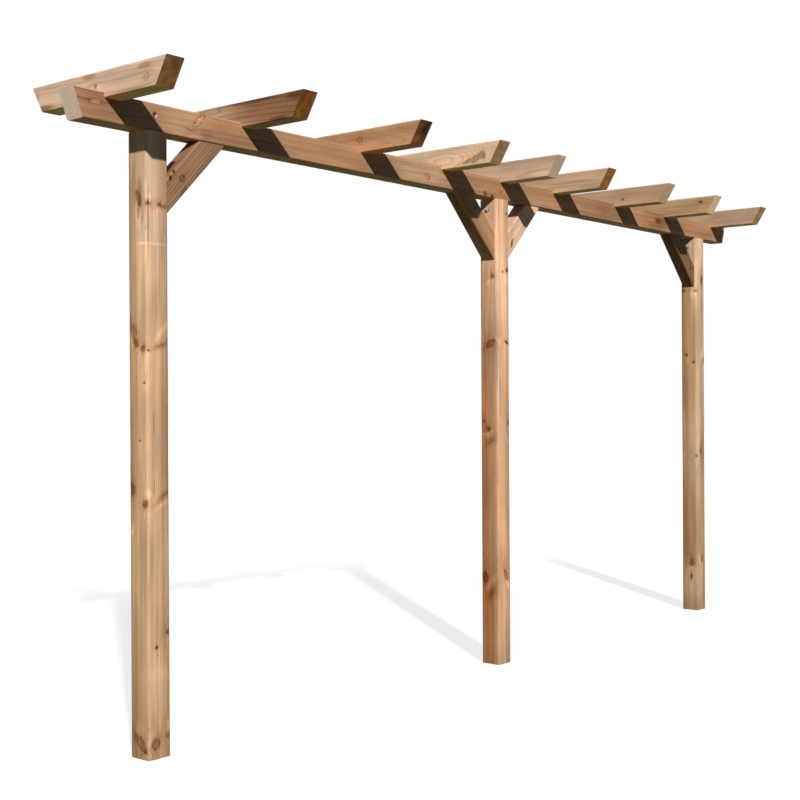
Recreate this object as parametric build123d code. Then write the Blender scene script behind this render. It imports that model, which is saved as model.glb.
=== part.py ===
from build123d import *
import math
import os

# A timber pergola: three square posts in a row carry one long beam on edge. Notched rafters lie across
# the beam and hang out on both sides, and knee braces run from the posts up to the beam.
# Millimetres. X runs along the beam, Y along the rafters, Z up. The origin is the middle post's foot.

# Posts
POST_SIDE = 95.0
POST_HEIGHT = 2100.0
POST_EDGE_RADIUS = 10.0
NEAR_BAY = 2010.0
FAR_BAY = 1938.0

# Tenon on each post's head, let into a mortise under the beam
TENON_LENGTH = 56.0
TENON_THICKNESS = 28.0
TENON_HEIGHT = 72.0
TENON_CLEARANCE = 0.3

# Beam, longer along its top than along its underside
BEAM_WIDTH = 80.0
BEAM_DEPTH = 95.0
BEAM_OVERHANG = 330.0
BEAM_END_SLANT = 33.0
BEAM_EDGE_RADIUS = 6.0

# Rafters, notched over the beam and cut back to a slant at both ends
RAFTER_WIDTH = 74.0
RAFTER_DEPTH = 90.0
RAFTER_LENGTH = 694.0
RAFTER_END_SLANT = 54.0
RAFTER_EDGE_RADIUS = 4.0
RAFTER_NOTCH_DEPTH = 18.0

# Round recess in each rafter's top, for the head of the screw that goes down into the beam
SINK_RADIUS = 6.0
SINK_DEPTH = 6.0

# Rafter places: beyond the outer posts as shares of the overhang, the others as shares of the bays
NEAR_END_RAFTER_SHARE = 0.53
NEAR_BAY_RAFTER_SHARES = (0.785, 0.463, 0.2025)
MIDDLE_RAFTER_SHARE = 0.014
FAR_BAY_RAFTER_SHARES = (0.2385, 0.5368, 0.805)
FAR_END_RAFTER_SHARE = 0.546

# Knee braces, measured along their outer face, with a screw pocket at each end
BRACE_RUN = 276.0
BRACE_DROP = 276.0
BRACE_WIDTH = 68.0
BRACE_DEPTH = 86.0
BRACE_EDGE_RADIUS = 5.0
POCKET_RADIUS = 5.5
POCKET_INSET = 40.0
POCKET_FLOOR = 24.0

# Coach bolt through the beam and the near post's tenon, its dome sunk in a round recess in the beam's
# front, its washer and nut at the back
BOLT_RISE = 55.0
BOLT_RADIUS = 5.0
BOLT_CLEARANCE = 0.3
DOME_RADIUS = 7.0
DOME_HEIGHT = 4.0
RECESS_RADIUS = 9.5
RECESS_DEPTH = 9.0
WASHER_RADIUS = 12.0
WASHER_THICKNESS = 2.5
NUT_ACROSS_FLATS = 17.0
NUT_THICKNESS = 8.0
BOLT_END = 4.0

# Hexagon screw with a washer, driven into each post's head from the brace side
SCREW_DROP = 43.0
SCREW_LENGTH = 62.0
SCREW_HEAD_HEIGHT = 7.0

# How far a cutting shape runs past what it cuts
OVERRUN = 10.0

POST_PLACES = {"near": -NEAR_BAY, "middle": 0.0, "far": FAR_BAY}
BEAM_TOP = POST_HEIGHT + BEAM_DEPTH
BEAM_START = -NEAR_BAY - BEAM_OVERHANG
BEAM_LENGTH = NEAR_BAY + FAR_BAY + 2 * BEAM_OVERHANG
BOLT_HEIGHT = POST_HEIGHT + BOLT_RISE
BOLT_PLACE = "near"
SCREW_HEIGHT = POST_HEIGHT - SCREW_DROP
RAFTER_PLACES = (
    [-NEAR_BAY - BEAM_OVERHANG * NEAR_END_RAFTER_SHARE]
    + [-NEAR_BAY * share for share in NEAR_BAY_RAFTER_SHARES]
    + [FAR_BAY * MIDDLE_RAFTER_SHARE]
    + [FAR_BAY * share for share in FAR_BAY_RAFTER_SHARES]
    + [FAR_BAY + BEAM_OVERHANG * FAR_END_RAFTER_SHARE]
)

# Which way each brace leans out from its post, and which side of each post carries the screw
BRACES = {
    "near_post_brace": ("near", 1),
    "middle_post_near_brace": ("middle", -1),
    "middle_post_far_brace": ("middle", 1),
    "far_post_brace": ("far", -1),
}
SCREW_SIDES = {"near": 1, "middle": -1, "far": -1}


def timber(length, width, depth, radius):
    """A bar along X, centred on the origin, with its four long edges eased."""
    section = Plane.YZ * RectangleRounded(width, depth, radius)
    return extrude(section, amount=length / 2, both=True)


def end_wedge(length, width, depth, slant):
    """What a slanted saw cut takes off the +X end, most at the underside and nothing at the top edge."""
    rise_per_run = depth / slant
    outline = Polyline(
        (length / 2 + OVERRUN, depth / 2 + OVERRUN * rise_per_run),
        (length / 2 - slant - OVERRUN, -depth / 2 - OVERRUN * rise_per_run),
        (length / 2 + OVERRUN, -depth / 2 - OVERRUN * rise_per_run),
        close=True,
    )
    return extrude(Plane.XZ * make_face(outline), amount=width / 2 + OVERRUN, both=True)


def splayed_timber(length, width, depth, radius, slant):
    """A bar along X whose ends slant, so that its top is longer than its underside."""
    wedge = end_wedge(length, width, depth, slant)
    return timber(length, width, depth, radius) - wedge - mirror(wedge, about=Plane.YZ)


def post(place):
    """A post with its tenon, bored for the screw in its head and, on the near post, for the beam's bolt."""
    section = RectangleRounded(POST_SIDE, POST_SIDE, POST_EDGE_RADIUS)
    shaft = extrude(section, amount=POST_HEIGHT)
    tenon = Pos(0, 0, POST_HEIGHT + TENON_HEIGHT / 2) * Box(TENON_LENGTH, TENON_THICKNESS, TENON_HEIGHT)
    solid = Pos(POST_PLACES[place], 0, 0) * (shaft + tenon)
    if place == BOLT_PLACE:
        solid = solid - bolt_bore()
    return solid - screw_bore(place)


def beam():
    """The beam, with a mortise over each post and the hole and recess for its bolt."""
    bar = splayed_timber(BEAM_LENGTH, BEAM_WIDTH, BEAM_DEPTH, BEAM_EDGE_RADIUS, BEAM_END_SLANT)
    solid = Pos(BEAM_START + BEAM_LENGTH / 2, 0, POST_HEIGHT + BEAM_DEPTH / 2) * bar
    mortise_height = TENON_HEIGHT + TENON_CLEARANCE
    mortise = Box(
        TENON_LENGTH + 2 * TENON_CLEARANCE,
        TENON_THICKNESS + 2 * TENON_CLEARANCE,
        mortise_height + OVERRUN,
    )
    mortise_centre = POST_HEIGHT + (mortise_height - OVERRUN) / 2
    for x in POST_PLACES.values():
        solid = solid - Pos(x, 0, mortise_centre) * mortise
    return solid - bolt_bore() - bolt_seat() * disc(RECESS_RADIUS, RECESS_DEPTH + OVERRUN)


def rafter(x):
    """A rafter across the beam, with the notch that drops it over the beam and the recess for its screw."""
    bar = splayed_timber(RAFTER_LENGTH, RAFTER_WIDTH, RAFTER_DEPTH, RAFTER_EDGE_RADIUS, RAFTER_END_SLANT)
    notch_height = RAFTER_NOTCH_DEPTH + OVERRUN
    notch = Box(BEAM_WIDTH, RAFTER_WIDTH + OVERRUN, notch_height)
    notch_centre = RAFTER_NOTCH_DEPTH - RAFTER_DEPTH / 2 - notch_height / 2
    recess = Pos(0, 0, RAFTER_DEPTH / 2 - SINK_DEPTH) * disc(SINK_RADIUS, SINK_DEPTH + OVERRUN)
    notched = bar - Pos(0, 0, notch_centre) * notch - recess
    rafter_centre = BEAM_TOP - RAFTER_NOTCH_DEPTH + RAFTER_DEPTH / 2
    return Pos(x, 0, rafter_centre) * Rot(0, 0, 90) * notched


def brace(place, side):
    """A knee brace between a post's side and the beam's underside, with a screw pocket at each end."""
    post_face = POST_PLACES[place] + side * POST_SIDE / 2
    outer_length = math.hypot(BRACE_RUN, BRACE_DROP)
    slope = math.degrees(math.atan2(BRACE_DROP, BRACE_RUN))
    bar = Pos(0, 0, BRACE_DEPTH / 2) * timber(outer_length, BRACE_WIDTH, BRACE_DEPTH, BRACE_EDGE_RADIUS)
    bar = Pos(BRACE_RUN / 2, 0, -BRACE_DROP / 2) * Rot(0, -slope, 0) * bar
    corner = Box(BRACE_RUN + OVERRUN, BRACE_WIDTH + OVERRUN, BRACE_DROP + OVERRUN,
                 align=(Align.MIN, Align.CENTER, Align.MAX))
    solid = bar & corner
    foot_pocket = Rot(0, 90, 0) * disc(POCKET_RADIUS, BRACE_RUN)
    head_pocket = Rot(180, 0, 0) * disc(POCKET_RADIUS, BRACE_DROP)
    solid = solid - Pos(POCKET_FLOOR, 0, POCKET_INSET - BRACE_DROP) * foot_pocket
    solid = solid - Pos(BRACE_RUN - POCKET_INSET, 0, -POCKET_FLOOR) * head_pocket
    if side < 0:
        solid = mirror(solid, about=Plane.YZ)
    return Pos(post_face, 0, POST_HEIGHT) * solid


def bolt_bore():
    """The hole across the beam and the tenon for the coach bolt."""
    length = BEAM_WIDTH + 2 * OVERRUN
    bore = Rot(90, 0, 0) * Cylinder(BOLT_RADIUS + BOLT_CLEARANCE, length)
    return Pos(POST_PLACES[BOLT_PLACE], 0, BOLT_HEIGHT) * bore


def bolt_seat():
    """The floor of the bolt's recess: its Z axis points out of the beam's front."""
    floor = (POST_PLACES[BOLT_PLACE], RECESS_DEPTH - BEAM_WIDTH / 2, BOLT_HEIGHT)
    return Plane(origin=floor, x_dir=(1, 0, 0), z_dir=(0, -1, 0)).location


def screw_frame(place):
    """The seat of a post's screw: its origin on the post's side, its Z axis out of the post."""
    side = SCREW_SIDES[place]
    seat = (POST_PLACES[place] + side * POST_SIDE / 2, 0, SCREW_HEIGHT)
    return Plane(origin=seat, x_dir=(0, 1, 0), z_dir=(side, 0, 0)).location


def screw_bore(place):
    """The blind hole in a post's head for its screw."""
    depth = SCREW_LENGTH + BOLT_CLEARANCE
    bore = disc(BOLT_RADIUS + BOLT_CLEARANCE, depth + OVERRUN)
    return screw_frame(place) * Pos(0, 0, -depth) * bore


def disc(radius, thickness):
    """A round plate standing on the XY plane."""
    return Cylinder(radius, thickness, align=(Align.CENTER, Align.CENTER, Align.MIN))


def hexagon(thickness):
    """A hexagonal nut or head standing on the XY plane."""
    return extrude(RegularPolygon(NUT_ACROSS_FLATS / 2, 6, major_radius=False), amount=thickness)


def dome():
    """The low dome of a coach bolt's head, standing on the XY plane."""
    ball_radius = (DOME_RADIUS ** 2 + DOME_HEIGHT ** 2) / (2 * DOME_HEIGHT)
    ball = Pos(0, 0, DOME_HEIGHT - ball_radius) * Sphere(ball_radius)
    return ball & disc(DOME_RADIUS, DOME_HEIGHT)


def beam_bolt():
    """The coach bolt across the beam, with its washer and nut."""
    grip = BEAM_WIDTH - RECESS_DEPTH
    shank_length = grip + WASHER_THICKNESS + NUT_THICKNESS + BOLT_END
    shank = Pos(0, 0, -shank_length) * disc(BOLT_RADIUS, shank_length)
    washer = Pos(0, 0, -grip - WASHER_THICKNESS) * disc(WASHER_RADIUS, WASHER_THICKNESS)
    nut = Pos(0, 0, -grip - WASHER_THICKNESS - NUT_THICKNESS) * hexagon(NUT_THICKNESS)
    return bolt_seat() * (dome() + shank + washer + nut)


def post_screw(place):
    """A hexagon screw in a post's head, with its washer."""
    shank = Pos(0, 0, -SCREW_LENGTH) * disc(BOLT_RADIUS, SCREW_LENGTH)
    head = Pos(0, 0, WASHER_THICKNESS) * hexagon(SCREW_HEAD_HEIGHT)
    return screw_frame(place) * (shank + disc(WASHER_RADIUS, WASHER_THICKNESS) + head)


nodes = {"beam": beam(), "beam_bolt": beam_bolt()}
for place in POST_PLACES:
    nodes[f"{place}_post"] = post(place)
    nodes[f"{place}_post_screw"] = post_screw(place)
for number, x in enumerate(RAFTER_PLACES, start=1):
    nodes[f"rafter_{number}"] = rafter(x)
for name, (place, side) in BRACES.items():
    nodes[name] = brace(place, side)

os.makedirs("parts", exist_ok=True)
for name, solid in nodes.items():
    export_step(solid, f"parts/{name}.step")
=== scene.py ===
import bmesh
import bpy
import math
from mathutils import Euler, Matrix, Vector


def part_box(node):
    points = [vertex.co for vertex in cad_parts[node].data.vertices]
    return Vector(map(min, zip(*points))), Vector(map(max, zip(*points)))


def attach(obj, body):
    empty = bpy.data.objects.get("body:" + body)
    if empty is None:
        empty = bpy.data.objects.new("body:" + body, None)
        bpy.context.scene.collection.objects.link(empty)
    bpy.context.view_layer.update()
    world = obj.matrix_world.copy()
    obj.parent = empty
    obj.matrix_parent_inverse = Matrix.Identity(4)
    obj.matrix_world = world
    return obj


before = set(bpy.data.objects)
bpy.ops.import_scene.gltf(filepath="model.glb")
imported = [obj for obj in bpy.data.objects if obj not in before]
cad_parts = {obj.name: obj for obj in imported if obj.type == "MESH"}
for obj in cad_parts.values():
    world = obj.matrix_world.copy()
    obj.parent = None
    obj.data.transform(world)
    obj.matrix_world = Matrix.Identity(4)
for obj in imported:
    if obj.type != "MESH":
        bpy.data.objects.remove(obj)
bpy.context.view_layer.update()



# Shader maths

class Wire:
    """A node's output that can be used in plain arithmetic."""

    def __init__(self, graph, socket):
        self.graph = graph
        self.socket = socket

    def _math(self, operation, *terms):
        return self.graph.node("ShaderNodeMath", {"operation": operation}, dict(enumerate(terms)))

    def __add__(self, other):
        return self._math("ADD", self, other)

    def __radd__(self, other):
        return self._math("ADD", other, self)

    def __sub__(self, other):
        return self._math("SUBTRACT", self, other)

    def __mul__(self, other):
        return self._math("MULTIPLY", self, other)

    def __truediv__(self, other):
        return self._math("DIVIDE", self, other)

    def __rtruediv__(self, other):
        return self._math("DIVIDE", other, self)

    def __pow__(self, other):
        return self._math("POWER", self, other)

    def __abs__(self):
        return self._math("ABSOLUTE", self)

    def least(self, other):
        return self._math("MINIMUM", self, other)

    def most(self, other):
        return self._math("MAXIMUM", self, other)

    def floor(self):
        return self._math("FLOOR", self)

    def fract(self):
        return self._math("FRACT", self)

    def root(self):
        return self._math("SQRT", self)

    def rise(self, low, high):
        """0 below low, 1 above high, smooth between them; low may be the larger."""
        ends = {"Value": self, "From Min": low, "From Max": high, "To Min": 0.0, "To Max": 1.0}
        return self.graph.node("ShaderNodeMapRange", {"interpolation_type": "SMOOTHSTEP"}, ends)


class Graph:
    """One material or world and the nodes in it."""

    def __init__(self, owner):
        self.owner = owner
        owner.use_nodes = True
        self.tree = owner.node_tree
        self.tree.nodes.clear()

    def node(self, kind, settings=None, inputs=None, out=0):
        made = self.tree.nodes.new(kind)
        for key, value in (settings or {}).items():
            setattr(made, key, value)
        for key, value in (inputs or {}).items():
            if isinstance(value, Wire):
                self.tree.links.new(value.socket, made.inputs[key])
            else:
                made.inputs[key].default_value = value
        return Wire(self, made.outputs[out])

    def vector(self, operation, *terms):
        single = operation in ("DOT_PRODUCT", "LENGTH")
        inputs = {0: terms[0], "Scale": terms[1]} if operation == "SCALE" else dict(enumerate(terms))
        return self.node("ShaderNodeVectorMath", {"operation": operation}, inputs, 1 if single else 0)

    def parts(self, vector):
        split = self.node("ShaderNodeSeparateXYZ", None, {0: vector})
        outputs = split.socket.node.outputs
        return [Wire(self, outputs[i]) for i in range(3)]

    def seen(self):
        """1 for rays that show a thing to the camera, straight or by a mirror, and 0 for bounced light."""
        outputs = self.node("ShaderNodeLightPath").socket.node.outputs
        shows = Wire(self, outputs["Is Camera Ray"])
        for other in ("Is Glossy Ray", "Is Transmission Ray"):
            shows = shows.most(Wire(self, outputs[other]))
        return shows

    def tinted(self, factor, colour, tint):
        """The colour, multiplied by the tint as far as the factor says."""
        return self.mix(factor, colour, self.vector("MULTIPLY", colour, tint))

    def noise(self, point, scale, detail=2.0, roughness=0.5, out=0):
        inputs = {"Vector": point, "Scale": scale, "Detail": detail, "Roughness": roughness}
        return self.node("ShaderNodeTexNoise", {"noise_dimensions": "3D"}, inputs, out)

    def mix(self, factor, first, second):
        settings = {"data_type": "RGBA", "blend_type": "MIX", "clamp_factor": True}
        return self.node("ShaderNodeMix", settings, {0: factor, 6: first, 7: second}, 2)

    def finish(self, shader, kind="ShaderNodeOutputMaterial"):
        output = self.tree.nodes.new(kind)
        self.tree.links.new(shader.socket, output.inputs["Surface"])
        return self.owner


def rgb(red, green, blue):
    return (red, green, blue, 1.0)


# Timber

POST_SIDES = {"left": (-1, 0), "right": (1, 0), "front": (0, -1), "back": (0, 1)}
BEAM_SIDES = {"top": (-1, 0), "under": (1, 0), "front": (0, -1), "back": (0, 1)}
RAFTER_SIDES = {"left": (-1, 0), "right": (1, 0), "top": (0, -1), "under": (0, 1)}

# How often each pattern of the wood repeats in a metre, across the timber twice and then along it, and how
# far the wandering ones sway, in metres. The seed's step sets the timbers apart.
WAVER, WAVER_SWAY = (30.0, 30.0, 5.0), (0.004, 0.004, 0.012)
DRIFT, DRIFT_SWAY = (0.0, 0.0, 1.3), (0.036, 0.036, 0.0)
FINE, STREAKS, THREADS = (520.0, 520.0, 7.0), (64.0, 64.0, 0.9), (240.0, 240.0, 2.2)
CLOUDS, LUMPS, BLOTS = (17.0, 17.0, 3.2), (110.0, 110.0, 80.0), (42.0, 42.0, 8.0)
SPOKES = (30.0, 30.0, 0.0)
SEED_STEP = (3.17, 1.73, 2.39)
NOISE_MEAN = 0.5
MIDDLE_GREY = (NOISE_MEAN, NOISE_MEAN, NOISE_MEAN)
ACROSS = (1.0, 1.0, 0.0)

# How strongly each pattern tells, and between which values it fades in
RING_LATE, RING_YEAR, RING_LESS = 0.85, 0.30, 0.10
STREAK_SHADE, FINE_SHADE, MEAN_SHADE = 1.1, 0.46, 1.03
HAIRLINE, HAIRLINE_FADE = 0.30, (0.56, 0.68)
WARM, WARM_FADE = 0.40, (0.50, 0.74)
COOL, COOL_FADE = 0.25, (0.50, 0.28)
HEART_RAGGED = 0.014
STAIN_FADE = (1.30, 0.45)
END_FACING, SLIT_FADE = (0.55, 0.72), (0.030, 0.004)
END_SHADE, END_FINE, END_BLOT, END_RING, END_SLIT = 1.02, 0.60, 0.9, 0.26, 0.20
END_DULL, END_DULL_FADE = 0.5, (0.60, 0.40)
ARRIS_FADE = (-0.010, -0.002)
POST_FOOT_SHADE, POST_SHADE_RISE = 0.90, 0.12
FOOT_DARKENING_AMOUNT, FOOT_DARKENING_FADE = 0.40, (0.12, 0.0)
BUMP_RING, BUMP_FINE, BUMP_STRENGTH, BUMP_DEPTH = 0.4, 0.6, 0.30, 0.0010
ROUGH, ROUGH_FINE, ROUGH_RING, SHINE = 0.58, 0.20, 0.08, 0.08

# Tints of the wood, among them the darker tint towards a post's foot
EARLY_WOOD, LATE_WOOD, SAWN_END = (1.08, 1.10, 1.13), (0.62, 0.50, 0.41), (0.86, 0.80, 0.74)
WARM_CLOUD, COOL_CLOUD = (1.0, 0.89, 0.78), (0.98, 1.00, 1.03)
KNOT_FLAME, KNOT_GLOW = (0.70, 0.56, 0.42), (1.24, 1.26, 1.28)
HEARTWOOD, DULL_END, FOOT_DARKENING = (0.76, 0.69, 0.58), (0.72, 0.68, 0.64), (0.68, 0.62, 0.56)
POST_ARRIS, OTHER_ARRIS = (0.88, 0.90, 0.94), (1.06, 1.08, 1.10)

# Knots: how steeply branches rise, how far they disturb the grain and how much it parts round them
BRANCH_RISE = 0.35
KNOT_REACH = 2.4
KNOT_LENGTHEN = 0.36
KNOT_BEND = 0.36
KNOT_USUAL = 0.014
KNOT_LEAST_PULL = 0.2
KNOT_CORE = 0.10
PULL_STREAKS, PULL_FLAME, FLAME_FADE = 70.0, 62.0, (0.62, 0.40)
GLOW, GLOW_FADE, GLOW_BELOW = 1.4, (0.36, 0.58), (0.0, 0.5)
AROUND, AROUND_FADE, OVER_FADE, HEART_FADE = 0.60, (3.6, 0.9), (1.10, 0.80), (0.85, 0.20)
RIM_INNER, RIM_OUTER = (0.66, 1.00), (1.50, 1.05)
RIM_LEAST, RIM_MORE, RIM_PATCHES = 0.25, 0.75, (0.40, 0.60)
CIRCLES, CIRCLE_DEPTH, CIRCLE_FADE = 3.6, 0.35, (1.05, 0.80)
KNOT_FINE = 0.35
LIVE, RED, DEAD, RING, SPIKE, EYE = "live", "red", "dead", "ring", "spike", "eye"
WORN, PAINTED_GLEAM, FLAME = "worn", "gleam", "flame"
# How each kind of knot or mark tints the wood: round it, over it, at its heart and along its rim. A gleam is
# no knot but a painted highlight, a small bright patch like sunlit gloss.
KNOT_TINTS = {
    PAINTED_GLEAM: ((1.42, 1.44, 1.46), (1.05, 1.05, 1.05), (1.00, 1.00, 1.00), (1.00, 1.00, 1.00)),
    FLAME: ((0.62, 0.50, 0.38), (0.84, 0.76, 0.66), (0.94, 0.90, 0.86), (0.96, 0.94, 0.90)),
    LIVE: ((0.86, 0.77, 0.68), (0.68, 0.59, 0.49), (0.76, 0.68, 0.58), (0.26, 0.19, 0.14)),
    RED: ((0.92, 0.82, 0.72), (0.74, 0.52, 0.42), (1.04, 0.94, 0.90), (0.22, 0.15, 0.11)),
    DEAD: ((0.78, 0.66, 0.56), (0.26, 0.20, 0.16), (0.60, 0.52, 0.46), (0.50, 0.40, 0.32)),
    RING: ((0.99, 0.95, 0.90), (0.98, 0.93, 0.86), (0.92, 0.84, 0.76), (0.48, 0.38, 0.30)),
    EYE: ((0.97, 0.93, 0.89), (0.70, 0.64, 0.56), (1.14, 1.14, 1.12), (0.42, 0.33, 0.26)),
    SPIKE: ((0.98, 0.94, 0.88), (1.16, 1.08, 1.05), (1.02, 1.00, 1.00), (0.50, 0.38, 0.30)),
    WORN: ((0.98, 0.96, 0.94), (0.55, 0.55, 0.54), (1.00, 1.00, 1.00), (0.72, 0.64, 0.56)),
}
# How ragged each kind's outline is, and how far it pulls the grain.
KNOT_RAGGED = {PAINTED_GLEAM: 2.0, FLAME: 2.4, LIVE: 3.2, RED: 1.2, DEAD: 1.2,
               RING: 0.5, EYE: 0.7, SPIKE: 0.3, WORN: 1.2}
KNOT_PULL = {LIVE: 0.007, RED: 0.007, DEAD: 0.007, RING: 0.004, EYE: 0.005, SPIKE: 0.003}


def on_side(side, across, half):
    """The point of the section that lies on a side, this far across it."""
    sign_a, sign_b = side
    if sign_a:
        return sign_a * half[0], across
    return across, sign_b * half[1]


def timber(name, place, turn, half, sides, tone, seed, pith, knots_and_gleams=(), stains_and_painted_light=(), end=None, mottle=1.0,
           spacing=0.0042, lines=0.6, thin=3.0, arch=None, streaky=0.75, heart=None, upright=False,
           end_stains=()):
    """Sawn softwood. The grain runs along the timber's own Z, and place and turn say where that is."""
    g = Graph(bpy.data.materials.new(name))
    where = g.node("ShaderNodeTexCoord", None, None, 3)
    turned = {"Vector": where, "Location": place, "Rotation": turn}
    raw = g.node("ShaderNodeMapping", {"vector_type": "TEXTURE"}, turned)
    shift = tuple(seed * step for step in SEED_STEP)

    def pattern(point, repeats, detail, roughness, out=0):
        spread = g.vector("ADD", g.vector("MULTIPLY", point, repeats), shift)
        return g.noise(spread, 1.0, detail, roughness, out)

    # A little wander in everything, so that no line is ruled.
    waver = g.vector("SUBTRACT", pattern(raw, WAVER, 2.0, 0.5, 1), MIDDLE_GREY)
    p = g.vector("ADD", raw, g.vector("MULTIPLY", waver, WAVER_SWAY))
    a, b, along = g.parts(p)

    # The pith wanders along the timber.
    drift = g.vector("SUBTRACT", pattern(raw, DRIFT, 1.0, 0.5, 1), MIDDLE_GREY)
    core = g.vector("ADD", g.vector("MULTIPLY", drift, DRIFT_SWAY), (*pith, 0.0))
    from_pith = g.vector("SUBTRACT", g.vector("MULTIPLY", p, ACROSS), core)
    radius = g.vector("LENGTH", from_pith)

    # Each knot is a branch that comes out through one side and pulls the grain round it. A painted gleam is
    # placed the same way and pulls nothing.
    nearest = dict.fromkeys(KNOT_TINTS)
    pull = halo = bend = None
    for side, across, at, size, stretch, kind, *tilt in knots_and_gleams:
        ka, kb = on_side(sides[side], across, half)
        depth = math.hypot(ka, kb)
        branch = Vector((ka, kb, depth * BRANCH_RISE)).normalized()
        q = g.vector("SUBTRACT", p, (ka, kb, at))
        sideways = g.vector("MULTIPLY", q, ACROSS)
        if tilt:
            spin = {"Vector": q, "Axis": (*sides[side], 0.0), "Angle": math.radians(tilt[0])}
            q = g.node("ShaderNodeVectorRotate", {"rotation_type": "AXIS_ANGLE"}, spin)
        if stretch != 1.0:
            q = g.vector("MULTIPLY", q, (1.0, 1.0, 1.0 / stretch))
        s = g.vector("DOT_PRODUCT", q, tuple(branch))
        off = g.vector("DOT_PRODUCT", q, q) - s * s
        girth = (s * (size / depth) + size).most(size * KNOT_CORE)
        ratio = off / (girth * girth)
        nearest[kind] = ratio if nearest[kind] is None else nearest[kind].least(ratio)
        if kind not in KNOT_PULL:
            continue
        wide = size * KNOT_REACH
        squat = g.vector("MULTIPLY", q, (1.0 / wide, 1.0 / wide, KNOT_LENGTHEN / wide))
        swell = g.vector("DOT_PRODUCT", squat, squat) + 1.0
        near = 1.0 / (swell * swell)
        tug = near * ((KNOT_LEAST_PULL + size / KNOT_USUAL) * KNOT_PULL[kind])
        pull = tug if pull is None else pull + tug
        part = g.vector("SCALE", sideways, near * KNOT_BEND)
        bend = part if bend is None else g.vector("ADD", bend, part)
        if kind in (LIVE, RED, DEAD):
            below = g.vector("DOT_PRODUCT", squat, (0.0, 0.0, -1.0))
            pale_below = near * below.rise(*GLOW_BELOW)
            halo = pale_below if halo is None else halo + pale_below
    if pull is None:
        pulled, years = p, radius
    else:
        parted = g.vector("SUBTRACT", p, bend)
        outward = g.vector("SCALE", g.vector("NORMALIZE", from_pith), pull)
        pulled = g.vector("SUBTRACT", parted, outward)
        years = g.vector("LENGTH", g.vector("SUBTRACT", from_pith, bend)) - pull

    if arch:
        bow, crest = arch
        years = years + (along - crest) * (along - crest) * bow

    # Yearly rings, then streaks and fibres that run with the grain, then broad clouds.
    ring = years / spacing
    late = ring.fract() ** thin
    year = g.node("ShaderNodeTexWhiteNoise", {"noise_dimensions": "1D"}, {"W": ring.floor()})
    fine = pattern(pulled, FINE, 2.0, 0.6)
    streak = pattern(pulled, STREAKS, 3.0, 0.6)
    thread = pattern(pulled, THREADS, 2.0, 0.5)
    cloud = pattern(pulled, CLOUDS, 2.0, 0.5)

    def toned(tint):
        return [part * share for part, share in zip(tone, tint)]

    pale = rgb(*toned(EARLY_WOOD))
    deep = rgb(*toned(LATE_WOOD))
    colour = g.mix((late * RING_LATE + year * RING_YEAR - RING_LESS) * lines, pale, deep)
    if pull is not None:
        streaky = pull * PULL_STREAKS + streaky
    hairline = thread.rise(*HAIRLINE_FADE) * HAIRLINE * streaky
    shade = (streak - NOISE_MEAN) * streaky * STREAK_SHADE + (fine - NOISE_MEAN) * FINE_SHADE
    shade = shade + (cloud - NOISE_MEAN) + MEAN_SHADE - hairline
    colour = g.vector("SCALE", colour, shade)
    colour = g.tinted(cloud.rise(*WARM_FADE) * WARM, colour, WARM_CLOUD)
    colour = g.tinted(cloud.rise(*COOL_FADE) * COOL, colour, COOL_CLOUD)
    if pull is not None:
        flame = pull * PULL_FLAME * streak.rise(*FLAME_FADE)
        colour = g.tinted(flame, colour, KNOT_FLAME)
    if halo is not None:
        glow = halo * streak.rise(*GLOW_FADE) * GLOW
        colour = g.tinted(glow, colour, KNOT_GLOW)
    if heart:
        inner = (radius + (streak - NOISE_MEAN) * HEART_RAGGED).rise(heart[1], heart[0])
        colour = g.tinted(inner, colour, HEARTWOOD)

    # Stains, resin, weathered patches and short drying cracks, and patches of painted light and shade.
    def patch_tint(plain, centre, spread, reach, strength, tint, fade=STAIN_FADE):
        q = g.vector("SUBTRACT", p, centre)
        q = g.vector("MULTIPLY", q, (1.0 / spread, 1.0 / spread, 1.0 / reach))
        dab = g.vector("LENGTH", q).rise(*fade)
        return g.tinted(dab * strength, plain, tint)

    for side, across, at, spread, reach, strength, tint, *fade in stains_and_painted_light:
        centre = (*on_side(sides[side], across, half), at)
        colour = patch_tint(colour, centre, spread, reach, strength, tint, *fade)

    lump = pattern(p, LUMPS, 3.0, 0.65)
    for kind, (around, over, heart_of_it, rim_tint) in KNOT_TINTS.items():
        if nearest[kind] is None:
            continue
        ragged = (fine - NOISE_MEAN) * KNOT_FINE + (lump - NOISE_MEAN) * KNOT_RAGGED[kind]
        knot = nearest[kind].root() + ragged
        patches = RIM_LEAST + lump.rise(*RIM_PATCHES) * RIM_MORE
        rim = knot.rise(*RIM_INNER) * knot.rise(*RIM_OUTER) * patches
        circles = (knot * CIRCLES).fract() * knot.rise(*CIRCLE_FADE) * CIRCLE_DEPTH
        layers = (
            (knot.rise(*AROUND_FADE) * AROUND, around),
            (knot.rise(*OVER_FADE), over),
            (knot.rise(*HEART_FADE), heart_of_it),
            (circles, over),
            (rim, rim_tint),
        )
        for amount, tint in layers:
            colour = g.tinted(amount, colour, tint)

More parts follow.
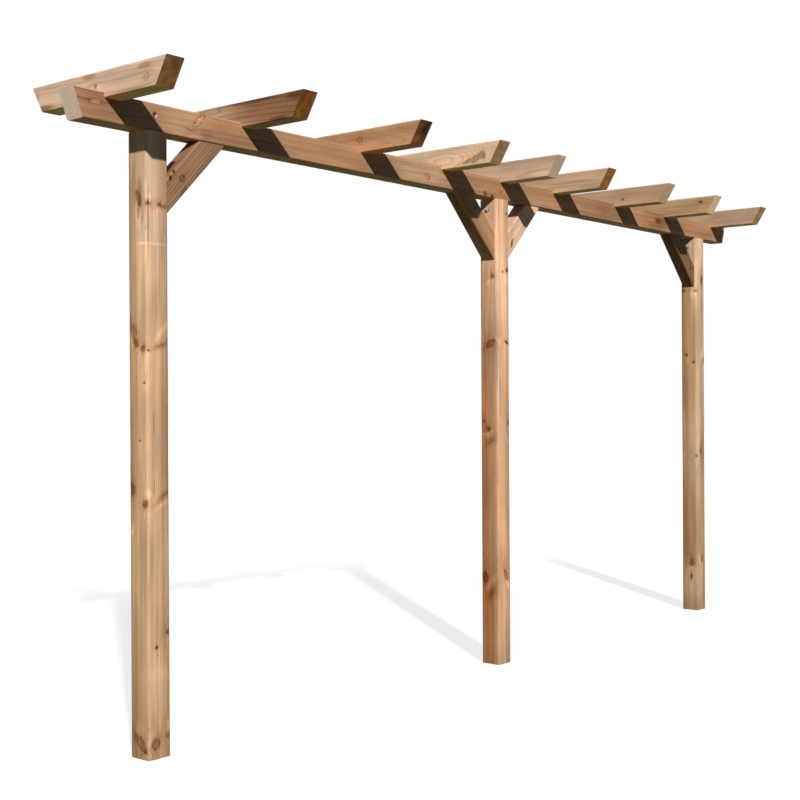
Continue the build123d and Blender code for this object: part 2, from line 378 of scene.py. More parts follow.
    # Sawn ends: rings seen end on, mottled, with fine cracks that run out from the pith.
    normal = g.node("ShaderNodeNewGeometry", None, None, 1)
    grain_way = Vector((0.0, 0.0, 1.0))
    grain_way.rotate(Euler(turn))
    cut = abs(g.vector("DOT_PRODUCT", normal, tuple(grain_way))).rise(*END_FACING)
    end = end or toned(SAWN_END)
    crack = pattern(g.vector("NORMALIZE", from_pith), SPOKES, 3.0, 0.7)
    slit = abs(crack - NOISE_MEAN).rise(*SLIT_FADE)
    blot = pattern(p, BLOTS, 3.0, 0.6)
    marks = (blot - NOISE_MEAN) * END_BLOT - late * END_RING - slit * END_SLIT
    end_shade = END_SHADE + (fine - NOISE_MEAN) * END_FINE + marks * mottle
    end_colour = g.vector("SCALE", end, end_shade)
    end_colour = g.tinted(blot.rise(*END_DULL_FADE) * END_DULL * mottle, end_colour, DULL_END)
    for row in end_stains:
        end_colour = patch_tint(end_colour, *row)
    colour = g.mix(cut, colour, end_colour)

    # Arrises are a little paler, or duller on a post, and a post is darker where it meets the ground.
    edge = (abs(a) - half[0]).least(abs(b) - half[1]).rise(*ARRIS_FADE)
    colour = g.tinted(edge, colour, POST_ARRIS if upright else OTHER_ARRIS)
    if upright:
        colour = g.vector("SCALE", colour, along * POST_SHADE_RISE + POST_FOOT_SHADE)
        # Darker towards the foot, over the lowest 12 cm.
        colour = g.tinted(along.rise(*FOOT_DARKENING_FADE) * FOOT_DARKENING_AMOUNT, colour, FOOT_DARKENING)

    relief = late * BUMP_RING + fine * BUMP_FINE
    bump = {"Height": relief, "Strength": BUMP_STRENGTH, "Distance": BUMP_DEPTH}
    inputs = {
        "Base Color": colour,
        "Roughness": ROUGH + fine * ROUGH_FINE + late * ROUGH_RING,
        "Normal": g.node("ShaderNodeBump", None, bump),
        "Specular IOR Level": SHINE,
    }
    return g.finish(g.node("ShaderNodeBsdfPrincipled", None, inputs))


def dress(node, material):
    """A CAD node keeps its shape and gets this finish."""
    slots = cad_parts[node].data.materials
    slots.clear()
    slots.append(material)


def middle_of(node):
    """The middle of a CAD node's box."""
    low, high = (Vector(corner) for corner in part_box(node))
    return (low + high) / 2


POST_HALF = (0.0475, 0.0475)
POST_TOP = 2.100
BEAM_HALF = (0.0475, 0.040)
RAFTER_HALF = (0.037, 0.045)
BRACE_HALF = (0.043, 0.034)
UPRIGHT = (0.0, 0.0, 0.0)
ALONG_X = (0.0, math.pi / 2, 0.0)
ALONG_Y = (-math.pi / 2, 0.0, 0.0)
LEAN_RIGHT = (0.0, math.pi / 4, 0.0)
LEAN_LEFT = (0.0, -math.pi / 4, 0.0)

GREY = (0.62, 0.66, 0.72)
BROWN = (0.62, 0.44, 0.30)
REDDISH = (0.78, 0.60, 0.44)
PALE = (1.20, 1.23, 1.27)
BLACK = (0.22, 0.18, 0.15)
LIGHT = (1.20, 1.17, 1.12)
SMEAR = (0.42, 0.34, 0.28)
CRISP = (1.06, 0.92)

near_post_knots_and_gleams = (
    ("left", -0.009, 1.871, 0.010, 2.4, LIVE, -22.0), ("left", 0.006, 1.392, 0.010, 1.5, LIVE, -28.0),
    ("left", -0.027, 1.372, 0.009, 1.0, LIVE), ("left", -0.033, 1.256, 0.003, 1.0, DEAD),
    ("left", -0.009, 1.066, 0.003, 1.0, DEAD), ("left", 0.030, 0.902, 0.013, 1.4, LIVE),
    ("left", -0.033, 0.851, 0.010, 1.0, LIVE), ("left", -0.009, 0.049, 0.014, 2.2, EYE, -48.0),
    ("front", -0.040, 1.855, 0.006, 1.0, LIVE), ("front", 0.009, 1.855, 0.006, 1.0, LIVE),
    ("front", 0.026, 0.884, 0.006, 4.2, FLAME, 50.0), ("front", -0.012, 0.374, 0.005, 1.0, DEAD),
    ("front", 0.014, 0.851, 0.0045, 3.0, PAINTED_GLEAM, 58.0), ("left", -0.045, 0.884, 0.006, 1.2, PAINTED_GLEAM),
    ("left", 0.031, 0.761, 0.003, 3.0, PAINTED_GLEAM, 27.0), ("front", 0.013, 1.429, 0.0045, 4.2, PAINTED_GLEAM, 38.0),
    ("front", 0.011, 1.383, 0.005, 3.0, FLAME, 70.0), ("front", -0.041, 1.365, 0.003, 1.0, DEAD),
    ("left", 0.018, 1.442, 0.008, 2.2, FLAME, -35.0), ("left", 0.034, 1.398, 0.006, 1.6, PAINTED_GLEAM),
    ("left", -0.003, 1.812, 0.005, 3.4, PAINTED_GLEAM, -14.0), ("front", -0.033, 1.876, 0.004, 1.4, PAINTED_GLEAM),
    ("front", 0.006, 1.842, 0.0035, 1.4, PAINTED_GLEAM), ("front", 0.030, 1.850, 0.004, 3.0, FLAME, 75.0),
    ("front", 0.042, 0.422, 0.011, 1.0, LIVE), ("front", -0.017, 0.050, 0.013, 1.2, EYE, 40.0),
    ("front", 0.036, 0.071, 0.007, 1.0, EYE),
    ("front", -0.034, 0.070, 0.005, 2.2, PAINTED_GLEAM, 30.0), ("front", 0.037, 0.103, 0.005, 1.6, PAINTED_GLEAM, -20.0),
    ("right", 0.010, 1.862, 0.010, 1.4, LIVE), ("right", -0.015, 1.385, 0.011, 1.2, LIVE),
    ("right", 0.005, 0.880, 0.013, 1.3, LIVE), ("right", 0.020, 0.400, 0.008, 1.0, DEAD),
    ("back", -0.012, 1.850, 0.009, 1.2, LIVE), ("back", 0.018, 0.868, 0.010, 1.3, LIVE),
    ("back", 0.008, 0.396, 0.012, 1.5, LIVE),
)
near_post_stains_and_painted_light = (
    ("front", -0.018, 1.855, 0.030, 0.025, 0.35, BROWN),
    ("front", -0.020, 1.125, 0.0025, 0.050, 0.5, BLACK), ("front", -0.020, 0.912, 0.0025, 0.036, 0.7, BLACK),
    ("front", -0.039, 1.810, 0.0042, 0.130, 0.8, SMEAR),
    ("front", 0.0, 1.722, 0.070, 0.006, 0.8, PALE), ("left", -0.020, 1.722, 0.026, 0.006, 0.8, PALE),
    ("left", -0.016, 1.895, 0.012, 0.050, 0.7, BROWN), ("left", -0.006, 1.830, 0.010, 0.030, 0.6, BROWN),
    ("front", 0.0, 0.283, 0.075, 0.024, 0.45, PALE),
    ("front", 0.0, 1.700, 0.080, 0.160, 0.35, PALE),
    ("left", 0.0, 1.640, 0.060, 0.160, 0.35, PALE), ("left", -0.012, 1.540, 0.012, 0.300, 0.50, PALE),
    # Painted light: the whole left face is made paler, as if it caught nearly as much light as the front.
    ("left", -0.010, 1.000, 0.060, 1.300, 0.80, LIGHT),
    ("left", 0.0, 0.150, 0.080, 0.260, 0.30, REDDISH),
    ("front", 0.010, 1.200, 0.070, 0.400, 0.40, (0.70, 0.70, 0.70)),
    ("left", -0.030, 0.026, 0.011, 0.008, 0.85, SMEAR), ("left", 0.000, 0.098, 0.026, 0.030, 0.80, PALE),
    ("front", 0.034, 0.100, 0.016, 0.022, 0.40, PALE), ("front", 0.040, 1.180, 0.020, 0.200, 0.30, REDDISH),
    ("front", 0.036, 0.850, 0.036, 0.800, 0.75, (0.78, 0.75, 0.70)),
    ("left", 0.0, 1.154, 0.060, 0.110, 0.60, (0.80, 0.82, 0.86)),
    ("front", 0.0, 0.250, 0.060, 0.110, 0.70, (1.16, 1.24, 1.36)),
    ("front", 0.0, 1.880, 0.075, 0.200, 0.80, (0.89, 0.95, 1.09)),
    ("left", 0.0, 1.880, 0.075, 0.200, 0.80, (0.87, 0.92, 1.02)),
)
middle_post_knots_and_gleams = (
    ("left", -0.021, 1.751, 0.009, 1.0, LIVE), ("left", -0.006, 1.447, 0.013, 1.7, RED, 58.0),
    ("left", 0.003, 1.062, 0.009, 1.2, LIVE), ("left", 0.029, 1.096, 0.005, 1.0, LIVE),
    ("left", 0.023, 0.389, 0.012, 1.6, RED),
    ("left", -0.002, 1.727, 0.004, 2.6, PAINTED_GLEAM, 60.0), ("front", 0.021, 1.742, 0.007, 1.3, PAINTED_GLEAM),
    ("front", -0.032, 1.457, 0.005, 1.6, PAINTED_GLEAM), ("left", 0.010, 1.044, 0.004, 3.2, PAINTED_GLEAM, 72.0),
    ("left", -0.007, 1.008, 0.010, 1.6, FLAME, 50.0), ("front", 0.028, 1.016, 0.0045, 3.0, PAINTED_GLEAM, -43.0),
    ("left", 0.000, 0.364, 0.006, 3.2, PAINTED_GLEAM, 39.0), ("front", 0.024, 0.360, 0.005, 2.6, PAINTED_GLEAM, -34.0),
    ("left", -0.010, 0.320, 0.010, 2.2, FLAME, 36.0),
    ("front", 0.028, 2.038, 0.005, 1.0, DEAD), ("front", 0.028, 1.783, 0.006, 1.0, DEAD),
    ("front", -0.004, 1.772, 0.004, 1.0, DEAD), ("front", 0.024, 1.455, 0.005, 2.4, DEAD, -66.0),
    ("front", 0.038, 1.093, 0.007, 1.2, LIVE), ("front", 0.010, 0.397, 0.010, 2.2, RED, -20.0),
    ("right", -0.010, 1.760, 0.009, 1.3, LIVE), ("right", 0.012, 1.455, 0.012, 1.2, LIVE),
    ("right", -0.018, 0.400, 0.009, 1.2, LIVE),
    ("back", 0.015, 1.768, 0.008, 1.0, LIVE), ("back", -0.020, 1.078, 0.010, 1.4, LIVE),
    ("back", -0.012, 0.392, 0.011, 1.3, LIVE),
)
middle_post_stains = (
    ("left", 0.010, 0.700, 0.055, 0.980, 0.80, (0.73, 0.57, 0.43)),
    ("left", 0.0, 1.660, 0.050, 0.170, 0.35, PALE), ("left", 0.034, 0.900, 0.034, 1.000, 0.60, REDDISH),
    ("left", 0.0, 0.150, 0.060, 0.300, 0.55, (0.80, 0.62, 0.36)),
    ("front", 0.0, 1.850, 0.060, 0.450, 0.65, PALE), ("front", 0.0, 1.680, 0.060, 0.200, 0.50, PALE),
    ("front", 0.0, 0.550, 0.060, 0.300, 0.90, LIGHT),
    ("front", 0.0, 0.150, 0.060, 0.200, 0.60, (1.08, 1.14, 1.20)),
    ("front", -0.0400, 1.280, 0.0034, 0.210, 0.9, (1.40, 1.50, 1.65)),
)
far_post_knots_and_gleams = (
    ("left", 0.031, 1.807, 0.008, 1.0, LIVE), ("left", -0.044, 1.804, 0.007, 1.0, LIVE),
    ("left", -0.027, 1.401, 0.005, 1.0, DEAD), ("left", 0.017, 1.443, 0.008, 1.0, LIVE),
    ("left", -0.044, 0.871, 0.006, 1.0, LIVE), ("left", -0.012, 0.263, 0.014, 1.1, LIVE),
    ("left", -0.008, 0.187, 0.005, 3.0, DEAD),
    ("front", 0.015, 1.863, 0.009, 2.2, LIVE), ("front", 0.031, 1.414, 0.009, 2.2, LIVE),
    ("front", -0.001, 0.896, 0.008, 1.8, LIVE), ("front", 0.0, 0.284, 0.008, 2.0, LIVE),
    ("left", -0.020, 1.786, 0.008, 1.4, PAINTED_GLEAM), ("left", -0.009, 0.245, 0.008, 1.3, PAINTED_GLEAM, 40.0),
    ("front", 0.012, 1.430, 0.008, 1.6, PAINTED_GLEAM), ("front", -0.016, 0.284, 0.008, 1.6, PAINTED_GLEAM, -30.0),
    ("right", 0.008, 1.815, 0.010, 1.3, LIVE), ("right", -0.020, 0.880, 0.010, 1.2, LIVE),
    ("back", -0.010, 1.420, 0.011, 1.3, LIVE), ("back", 0.014, 0.275, 0.012, 1.2, LIVE),
)
far_post_stains = (
    ("left", 0.0, 0.225, 0.040, 0.090, 0.30, PALE),
    ("left", 0.0, 0.500, 0.060, 0.250, 0.75, REDDISH), ("left", -0.010, 0.900, 0.050, 0.300, 0.25, LIGHT),
    ("left", 0.0, 1.500, 0.070, 0.450, 0.60, REDDISH), ("left", 0.0, 0.120, 0.060, 0.150, 0.60, LIGHT),
    ("front", 0.0, 0.200, 0.080, 0.900, 0.50, (0.79, 0.76, 0.71)),
    ("front", 0.0, 1.900, 0.080, 0.600, 0.55, PALE),
)
beam_knots = (
    ("front", -0.016, -1.816, 0.009, 3.4, SPIKE, -42.0), ("front", 0.010, -0.542, 0.010, 1.3, RING),
    ("front", 0.033, -0.125, 0.007, 1.0, LIVE), ("front", 0.040, -0.072, 0.006, 1.0, DEAD),
    ("front", 0.012, -0.012, 0.008, 1.3, RING), ("front", -0.003, 1.462, 0.011, 2.0, LIVE),
    ("under", 0.010, -1.200, 0.010, 1.4, LIVE), ("under", -0.012, 0.620, 0.011, 1.3, LIVE),
    ("back", 0.008, -1.380, 0.012, 1.4, LIVE), ("back", -0.014, -0.300, 0.010, 1.2, LIVE),
    ("back", 0.016, 0.840, 0.012, 1.5, LIVE), ("back", -0.006, 1.750, 0.010, 1.2, DEAD),
    ("top", 0.006, -0.700, 0.010, 1.3, LIVE), ("top", -0.010, 1.300, 0.011, 1.3, LIVE),
)
beam_stains_and_painted_shade = (
    # Painted shade: the wood round the bolt's recess is darkened.
    ("front", -0.0075, -2.010, 0.012, 0.012, 0.9, BLACK),
    ("front", -0.012, -2.262, 0.011, 0.032, 0.60, BROWN),
    ("front", -0.012, -2.256, 0.0065, 0.020, 1.00, (2.00, 2.40, 2.90), CRISP),
    ("front", 0.033, -1.090, 0.012, 0.090, 0.6, PALE),
    ("front", 0.0, -2.200, 0.060, 0.110, 0.70, (0.74, 0.72, 0.68)),
    ("front", 0.0, -0.570, 0.055, 0.190, 0.90, (1.20, 1.42, 1.60)),
    ("front", 0.022, -1.780, 0.022, 0.035, 0.45, BROWN),
    ("front", -0.020, -1.830, 0.008, 0.020, 0.40, PALE),
    ("front", 0.0, -1.860, 0.060, 0.120, 1.00, (1.30, 1.43, 1.50)),
    ("front", 0.0, 1.430, 0.070, 0.170, 0.80, (0.74, 0.66, 0.58)),
    ("front", 0.0, 0.900, 0.070, 0.350, 0.50, (0.82, 0.80, 0.76)),
)

# Each post's colour, seed, pith, the radii over which its heartwood fades, knots with painted gleams, and
# stains with some painted light.
posts = (
    ("near_post", (0.600, 0.388, 0.226), 1.0, (0.045, 0.045), (0.091, 0.110),
     near_post_knots_and_gleams, near_post_stains_and_painted_light),
    ("middle_post", (0.645, 0.388, 0.230), 2.0, (0.045, 0.030), (0.076, 0.092),
     middle_post_knots_and_gleams, middle_post_stains),
    ("far_post", (0.565, 0.385, 0.240), 3.0, (0.042, 0.045), (0.087, 0.106),
     far_post_knots_and_gleams, far_post_stains),
)
for node, tone, seed, pith, heart, knots_and_gleams, stains_and_painted_light in posts:
    place = (middle_of(node).x, 0.0, 0.0)
    dress(node, timber(node + "_wood", place, UPRIGHT, POST_HALF, POST_SIDES, tone, seed, pith,
                       knots_and_gleams, stains_and_painted_light, lines=0.35, streaky=0.50, heart=heart, upright=True))

BEAM_AXIS = 2.1475
BEAM_TONE = (0.415, 0.228, 0.121)
BEAM_END = (0.98, 0.75, 0.57)
BEAM_PITH = (0.120, 0.030)
dress("beam", timber("beam_wood", (0.0, 0.0, BEAM_AXIS), ALONG_X, BEAM_HALF, BEAM_SIDES, BEAM_TONE, 4.0,
                     BEAM_PITH, beam_knots, beam_stains_and_painted_shade, BEAM_END, 0.20, lines=0.80, streaky=0.74))

# Each rafter's own colour, the colour of its sawn ends and how mottled they are, its pith, how far apart, how
# clear and how thin its rings are, the bow of arched grain, its knots and its stains.
rafters = (
    ((0.79, 0.545, 0.360), (0.31, 0.150, 0.046), 1.0, (0.060, 0.010), 0.006, 0.5, 3.0, None, (
        ("left", 0.010, -0.251, 0.010, 1.0, RING), ("left", 0.003, 0.003, 0.005, 1.0, LIVE),
        ("right", 0.010, 0.120, 0.009, 1.2, LIVE),
    ), (
        ("left", -0.027, -0.240, 0.009, 0.034, 0.85, GREY, CRISP),
        ("left", -0.034, 0.033, 0.010, 0.040, 0.8, BROWN),
        ("left", 0.034, 0.290, 0.012, 0.070, 0.9, SMEAR), ("left", 0.043, -0.150, 0.010, 0.120, 0.6, BROWN),
        ("left", -0.010, 0.330, 0.020, 0.030, 0.5, BROWN), ("left", 0.0, -0.310, 0.040, 0.030, 0.5, PALE),
    )),
    ((0.59, 0.375, 0.235), (0.29, 0.110, 0.022), 1.0, (0.030, 0.090), 0.0150, 1.3, 8.0, (0.10, 0.05), (
        ("left", -0.036, 0.075, 0.008, 1.0, RING), ("right", 0.000, -0.150, 0.010, 1.2, LIVE),
    ), (
        ("left", -0.005, -0.240, 0.080, 0.270, 0.90, (0.43, 0.34, 0.25)),
        ("left", -0.045, -0.080, 0.016, 0.180, 0.85, SMEAR),
        ("left", -0.045, -0.310, 0.034, 0.050, 0.90, SMEAR),
        ("left", 0.040, -0.230, 0.010, 0.050, 0.80, SMEAR),
    )),
    ((0.55, 0.292, 0.152), (0.20, 0.085, 0.022), 1.5, (0.065, 0.020), 0.0042, 0.4, 3.0, None, (
        ("left", -0.006, -0.041, 0.011, 1.1, RING), ("right", 0.005, 0.200, 0.008, 1.2, LIVE),
    ), ()),
    ((0.80, 0.545, 0.352), (0.47, 0.27, 0.130), 1.0, (0.085, 0.006), 0.0040, 0.85, 6.0, (0.45, -0.06), (
        ("right", 0.010, -0.080, 0.010, 1.2, LIVE), ("left", 0.007, -0.256, 0.016, 1.0, WORN),
        ("left", 0.015, -0.226, 0.012, 2.2, WORN, -13.0), ("left", 0.023, -0.185, 0.006, 4.5, WORN, -13.0),
    ), (
        ("left", 0.016, -0.268, 0.018, 0.006, 0.75, BROWN), ("left", 0.0, -0.290, 0.040, 0.022, 0.5, PALE),
    )),
    ((0.65, 0.435, 0.292), (0.74, 0.56, 0.40), 0.45, (0.050, 0.030), 0.0042, 0.35, 3.0, None, (
        ("left", 0.012, 0.180, 0.008, 1.2, LIVE),
    ), (
        ("left", 0.030, -0.260, 0.014, 0.060, 0.6, PALE),
    )),
    ((0.585, 0.388, 0.232), (0.43, 0.18, 0.045), 0.9, (0.060, -0.010), 0.0042, 0.4, 3.0, None, (
        ("right", -0.010, 0.060, 0.009, 1.3, LIVE),
    ), (
        ("left", 0.000, -0.170, 0.008, 0.090, 0.55, GREY), ("left", 0.018, -0.090, 0.006, 0.080, 0.45, GREY),
    )),
    ((0.54, 0.336, 0.195), (0.72, 0.49, 0.305), 0.5, (0.070, 0.015), 0.0042, 0.4, 3.0, None, (
        ("left", 0.010, -0.089, 0.004, 1.0, DEAD), ("right", -0.006, -0.200, 0.009, 1.2, LIVE),
    ), ()),
    ((0.56, 0.342, 0.185), (0.97, 0.70, 0.46), 0.4, (0.060, 0.020), 0.0042, 0.4, 3.0, None, (
        ("left", -0.017, -0.260, 0.005, 1.1, DEAD), ("right", 0.012, 0.100, 0.008, 1.2, LIVE),
    ), ()),
    ((0.55, 0.362, 0.225), (0.54, 0.30, 0.125), 0.9, (0.065, -0.015), 0.0042, 0.35, 3.0, None, (
        ("left", 0.008, 0.140, 0.007, 1.1, LIVE), ("right", -0.008, -0.120, 0.010, 1.2, LIVE),
    ), ()),
)
# Marks on the sawn ends that face the front: place, spread, reach, strength and tint.
rafter_end_stains = {
    1: (((-0.025, 0.000, -0.320), 0.034, 0.100, 0.70, (0.98, 1.08, 1.50)),
        ((0.020, -0.050, -0.340), 0.040, 0.060, 0.80, (0.60, 0.58, 0.60))),
    2: (((-0.037, -0.045, -0.345), 0.040, 0.060, 0.70, (0.62, 0.62, 0.70)),
        ((-0.020, 0.036, -0.300), 0.022, 0.060, 0.80, (1.30, 1.45, 1.60))),
    3: (((0.032, -0.020, -0.330), 0.046, 0.100, 0.95, (0.34, 0.36, 0.50)),
        ((-0.030, 0.030, -0.310), 0.030, 0.100, 0.80, (1.75, 1.85, 2.10))),
}
for count, (tone, end, mottle, pith, spacing, lines, thin, arch, knots_and_gleams, stains_and_painted_light) in enumerate(rafters, 1):
    node = f"rafter_{count}"
    dress(node, timber(node + "_wood", middle_of(node), ALONG_Y, RAFTER_HALF, RAFTER_SIDES, tone,
                       10.0 + count, pith, knots_and_gleams, stains_and_painted_light, end, mottle, spacing, lines, thin, arch,
                       streaky=0.32, end_stains=rafter_end_stains.get(count, ())))

BRACE_RIGHT_SIDES = {"under": (1, 0), "inner": (-1, 0), "front": (0, -1), "back": (0, 1)}
BRACE_LEFT_SIDES = {"under": (-1, 0), "inner": (1, 0), "front": (0, -1), "back": (0, 1)}
BRACE_OFFSET = 0.1076
BRACE_MIDDLE = POST_HALF[0] + BRACE_OFFSET
BRACE_HEIGHT = POST_TOP - BRACE_OFFSET
BRACE_PITH = (0.125, 0.010)
NEAR_POST_X = middle_of("near_post").x
FAR_POST_X = middle_of("far_post").x
braces = (
    ("near_post_brace", NEAR_POST_X + BRACE_MIDDLE, LEAN_RIGHT, BRACE_RIGHT_SIDES,
     (0.305, 0.177, 0.096), 21.0, (
        ("front", 0.000, -0.048, 0.010, 1.2, EYE), ("front", -0.041, -0.060, 0.005, 1.0, DEAD),
        ("front", -0.034, -0.087, 0.005, 1.0, DEAD), ("under", 0.008, 0.060, 0.007, 1.0, LIVE),
    ), (
        ("front", 0.037, -0.074, 0.012, 0.030, 0.7, BROWN),
    )),
    ("middle_post_near_brace", -BRACE_MIDDLE, LEAN_LEFT, BRACE_LEFT_SIDES, (0.420, 0.242, 0.123), 22.0, (
        ("front", 0.012, 0.060, 0.006, 1.0, LIVE), ("back", -0.010, -0.040, 0.008, 1.0, LIVE),
    ), ()),
    # This brace's tone is partly its own paler wood and partly painted light, raised so that its shaded faces
    # come out lighter.
    ("middle_post_far_brace", BRACE_MIDDLE, LEAN_RIGHT, BRACE_RIGHT_SIDES, (0.76, 0.515, 0.345), 23.0, (
        ("front", 0.012, -0.104, 0.005, 3.2, DEAD, -38.0), ("back", 0.008, 0.050, 0.008, 1.0, LIVE),
    ), ()),
    # Painted shade: this brace's tone is darkened as if it stood in partial shadow.
    ("far_post_brace", FAR_POST_X - BRACE_MIDDLE, LEAN_LEFT, BRACE_LEFT_SIDES,
     (0.220, 0.120, 0.060), 24.0, (
        ("front", -0.005, -0.093, 0.006, 1.0, DEAD), ("back", -0.012, 0.030, 0.008, 1.0, LIVE),
    ), ()),
)
for node, at, turn, sides, tone, seed, knots_and_gleams, stains_and_painted_light in braces:
    dress(node, timber(node + "_wood", (at, 0.0, BRACE_HEIGHT), turn, BRACE_HALF, sides, tone, seed,
                       BRACE_PITH, knots_and_gleams, stains_and_painted_light, spacing=0.0105, lines=1.00, thin=3.0, streaky=0.60))


# Zinc-plated fixings

ZINC_CLOUDS, ZINC_SPECKS = 260.0, 1900.0
DARK_BLUE, BRIGHT_BLUE = 1.03, 1.02
CLOUD_ROUGH, SPECK_STRENGTH, SPECK_DEPTH = 0.24, 0.12, 0.0004


def zinc(name, dark, bright, rough):
    """Zinc plating with cloudy patches and fine turning marks."""
    g = Graph(bpy.data.materials.new(name))
    where = g.node("ShaderNodeTexCoord", None, None, 3)
    cloud = g.noise(where, ZINC_CLOUDS, 3.0, 0.6)
    speck = g.noise(where, ZINC_SPECKS, 2.0, 0.5)
    colour = g.mix(cloud, rgb(dark, dark, dark * DARK_BLUE), rgb(bright, bright, bright * BRIGHT_BLUE))
    bump = {"Height": speck, "Strength": SPECK_STRENGTH, "Distance": SPECK_DEPTH}
    inputs = {
        "Base Color": colour,
        "Metallic": 1.0,
        "Roughness": rough + cloud * CLOUD_ROUGH,
        "Normal": g.node("ShaderNodeBump", None, bump),
    }
    return g.finish(g.node("ShaderNodeBsdfPrincipled", None, inputs))


plated = zinc("zinc_plating", 0.36, 0.72, 0.34)
# The beam's bolt gets a darker copy of the plating: painted shade and dark reflection for its sunken head.
dress("beam_bolt", zinc("zinc_darkened_as_painted_shade", 0.08, 0.20, 0.60))
for node in ("near_post_screw", "middle_post_screw", "far_post_screw"):
    dress(node, plated)


# Small screws, in the pockets of the braces and the recesses in the rafters' tops

HEAD_RADIUS = 0.0045
HEAD_HEIGHT = 0.0026
HEAD_EASE = 0.0006
SOCKET_WALL = 0.0020
SOCKET_DEPTH = 0.0016
SOCKET_LOBES = 6
LOBE_PINCH = 0.72
LOBE_GAP = -0.5
RIM_SHARE = 0.98
SMOOTH_ANGLE = math.radians(35.0)
HEAD_CORNERS = 24
FACING = 0.9
SHANK_RADIUS = 0.0024
SHANK_LENGTH = 0.012
POCKET_INSET = 0.040
POCKET_FLOOR = 0.024
SINK_DEPTH = 0.006


def pick(piece, faces=None, edges=None, corners=None):
    """In edit mode, select the faces, edges or corners for which a test holds, and nothing else."""
    bpy.ops.mesh.select_all(action="DESELECT")
    mesh = bmesh.from_edit_mesh(piece.data)
    mesh.normal_update()
    for test, members in ((faces, mesh.faces), (edges, mesh.edges), (corners, mesh.verts)):
        for member in members if test else ():
            if test(member):
                member.select_set(True)
    mesh.select_flush_mode()
    bmesh.update_edit_mesh(piece.data)


def small_screw():
    """A flat screw head with a star socket, standing on the origin, and its shank below."""
    bpy.ops.object.select_all(action="DESELECT")
    middle = (0.0, 0.0, HEAD_HEIGHT / 2)
    bpy.ops.mesh.primitive_cylinder_add(vertices=HEAD_CORNERS, radius=HEAD_RADIUS, depth=HEAD_HEIGHT,
                                        location=middle)
    screw = bpy.context.object
    bpy.ops.object.transform_apply(location=True, rotation=True, scale=True)
    bpy.ops.object.mode_set(mode="EDIT")

    bpy.ops.mesh.select_mode(type="FACE")
    pick(screw, faces=lambda face: face.normal.z < -FACING)
    bpy.ops.mesh.inset(thickness=HEAD_RADIUS - SHANK_RADIUS)
    bpy.ops.mesh.extrude_region_move(TRANSFORM_OT_translate={"value": (0.0, 0.0, -SHANK_LENGTH)})

    pick(screw, faces=lambda face: face.normal.z > FACING)
    bpy.ops.mesh.inset(thickness=SOCKET_WALL)
    bpy.ops.mesh.select_mode(type="VERT")
    socket = HEAD_RADIUS - SOCKET_WALL + HEAD_EASE / 2
    on_top = HEAD_HEIGHT - HEAD_EASE / 2

    def between_lobes(corner):
        turn = math.atan2(corner.co.y, corner.co.x) * SOCKET_LOBES
        return corner.co.z > on_top and corner.co.xy.length < socket and math.cos(turn) < LOBE_GAP

    pick(screw, corners=between_lobes)
    bpy.ops.transform.resize(value=(LOBE_PINCH, LOBE_PINCH, 1.0), center_override=(0.0, 0.0, HEAD_HEIGHT))
    bpy.ops.mesh.select_mode(type="FACE")
    pick(screw, faces=lambda face: face.normal.z > FACING and len(face.verts) > 4)
    bpy.ops.mesh.extrude_region_move(TRANSFORM_OT_translate={"value": (0.0, 0.0, -SOCKET_DEPTH)})

    bpy.ops.mesh.select_mode(type="EDGE")
    rim = HEAD_RADIUS * RIM_SHARE
    pick(screw, edges=lambda edge: all(v.co.z > on_top and v.co.xy.length > rim for v in edge.verts))
    bpy.ops.mesh.bevel(offset=HEAD_EASE, segments=2)
    bpy.ops.object.mode_set(mode="OBJECT")
    bpy.ops.object.shade_smooth_by_angle(angle=SMOOTH_ANGLE)
    screw.data.materials.append(plated)
    return screw


def drive(pattern, name, place, turn):
    """A copy of the screw at this place, with its place in its own mesh."""
    bpy.ops.object.select_all(action="DESELECT")
    pattern.select_set(True)
    bpy.context.view_layer.objects.active = pattern
    bpy.ops.object.duplicate(linked=False)
    screw = bpy.context.object
    screw.name = name
    screw.data.name = name
    screw.location = place
    screw.rotation_euler = turn
    bpy.ops.object.transform_apply(location=True, rotation=True, scale=True)
    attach(screw, "root")


pattern_screw = small_screw()
for count in range(1, len(rafters) + 1):
    low, high = (Vector(corner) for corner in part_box(f"rafter_{count}"))
    top = (low + high) / 2
    top.z = high.z - SINK_DEPTH
    drive(pattern_screw, f"rafter_{count}_screw", top, UPRIGHT)
for node, turn in ((row[0], row[2]) for row in braces):
    low, high = (Vector(corner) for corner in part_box(node))
    leans_right = turn == LEAN_RIGHT
    foot_x, head_x = (low.x, high.x) if leans_right else (high.x, low.x)
    out = 1.0 if leans_right else -1.0
    foot_place = (foot_x + out * POCKET_FLOOR, 0.0, low.z + POCKET_INSET)
    head_place = (head_x - out * POCKET_INSET, 0.0, high.z - POCKET_FLOOR)
    drive(pattern_screw, node + "_foot_screw", foot_place, (0.0, out * math.pi / 2, 0.0))
    drive(pattern_screw, node + "_head_screw", head_place, (math.pi, 0.0, 0.0))
bpy.ops.object.select_all(action="DESELECT")
pattern_screw.select_set(True)
bpy.ops.object.delete()


# Floor, light and camera

FLOOR_SIZE = 80.0
FLOOR_BOUNCE = rgb(0.130, 0.180, 0.042)
FLOOR_LIT = rgb(0.92, 0.92, 0.92)
FLOOR_GLOW = rgb(1.0, 0.998, 0.965)
FLOOR_STRENGTH = 1.15
SHADOW_SHAPE = (0.62, 0.8, 0.0)
SHADOW_FADE = (3.6, 2.0)
SHADOW_KEPT = 0.28
SKY_FILL = rgb(0.26, 0.30, 1.0)
SKY_STRENGTH = 0.19
PAPER_WHITE = rgb(1.0, 1.0, 1.0)
LIGHT_TRAVEL = Vector((1.09, 1.43, -1.0))


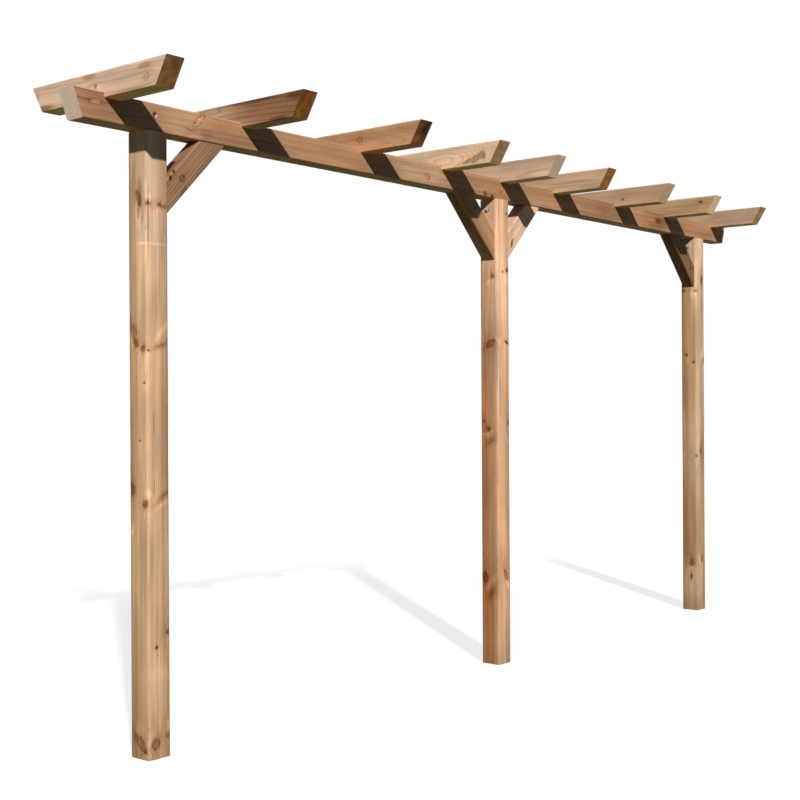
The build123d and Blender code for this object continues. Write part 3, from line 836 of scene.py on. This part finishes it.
def floor_finish():
    """A white floor to the camera that keeps part of the object's shadow, and a dull one to bounced light."""
    g = Graph(bpy.data.materials.new("pale_floor"))
    where = g.node("ShaderNodeTexCoord", None, None, 3)
    away = g.vector("LENGTH", g.vector("MULTIPLY", where, SHADOW_SHAPE))
    keep = away.rise(*SHADOW_FADE) * SHADOW_KEPT
    bounce = g.node("ShaderNodeBsdfDiffuse", None, {"Color": FLOOR_BOUNCE})
    lit = g.node("ShaderNodeBsdfDiffuse", None, {"Color": FLOOR_LIT})
    glow = g.node("ShaderNodeEmission", None, {"Color": FLOOR_GLOW, "Strength": FLOOR_STRENGTH})
    shown = g.node("ShaderNodeMixShader", None, {0: keep, 1: glow, 2: lit})
    return g.finish(g.node("ShaderNodeMixShader", None, {0: g.seen(), 1: bounce, 2: shown}))


bpy.ops.object.select_all(action="DESELECT")
bpy.ops.mesh.primitive_plane_add(size=FLOOR_SIZE, location=(0.0, 0.0, 0.0))
floor = bpy.context.object
floor.name = "floor"
floor.data.materials.append(floor_finish())

world = bpy.data.worlds.new("open_sky")
bpy.context.scene.world = world
sky = Graph(world)
fill = sky.node("ShaderNodeBackground", None, {"Color": SKY_FILL, "Strength": SKY_STRENGTH})
white = sky.node("ShaderNodeBackground", None, {"Color": PAPER_WHITE, "Strength": 1.0})
sky.finish(sky.node("ShaderNodeMixShader", None, {0: sky.seen(), 1: fill, 2: white}), "ShaderNodeOutputWorld")

sun = bpy.data.lights.new("sun", "SUN")
sun.energy = 3.95
sun.angle = math.radians(1.2)
sun.color = (1.0, 0.965, 0.91)
sun_object = bpy.data.objects.new("sun", sun)
sun_object.rotation_euler = LIGHT_TRAVEL.to_track_quat("-Z", "Y").to_euler()
sun_object.location = (-4.0, -5.0, 6.0)
bpy.context.collection.objects.link(sun_object)

camera = bpy.data.cameras.new("camera")
camera.sensor_width = 36.0
camera.lens = 59.2
camera_object = bpy.data.objects.new("camera", camera)
camera_object.location = (-4.8921, -3.4743, 1.1982)
camera_object.rotation_euler = (math.radians(89.972), math.radians(0.306), math.radians(-50.477))
bpy.context.collection.objects.link(camera_object)
bpy.context.scene.camera = camera_object
bpy.context.scene.view_settings.view_transform = "Standard"
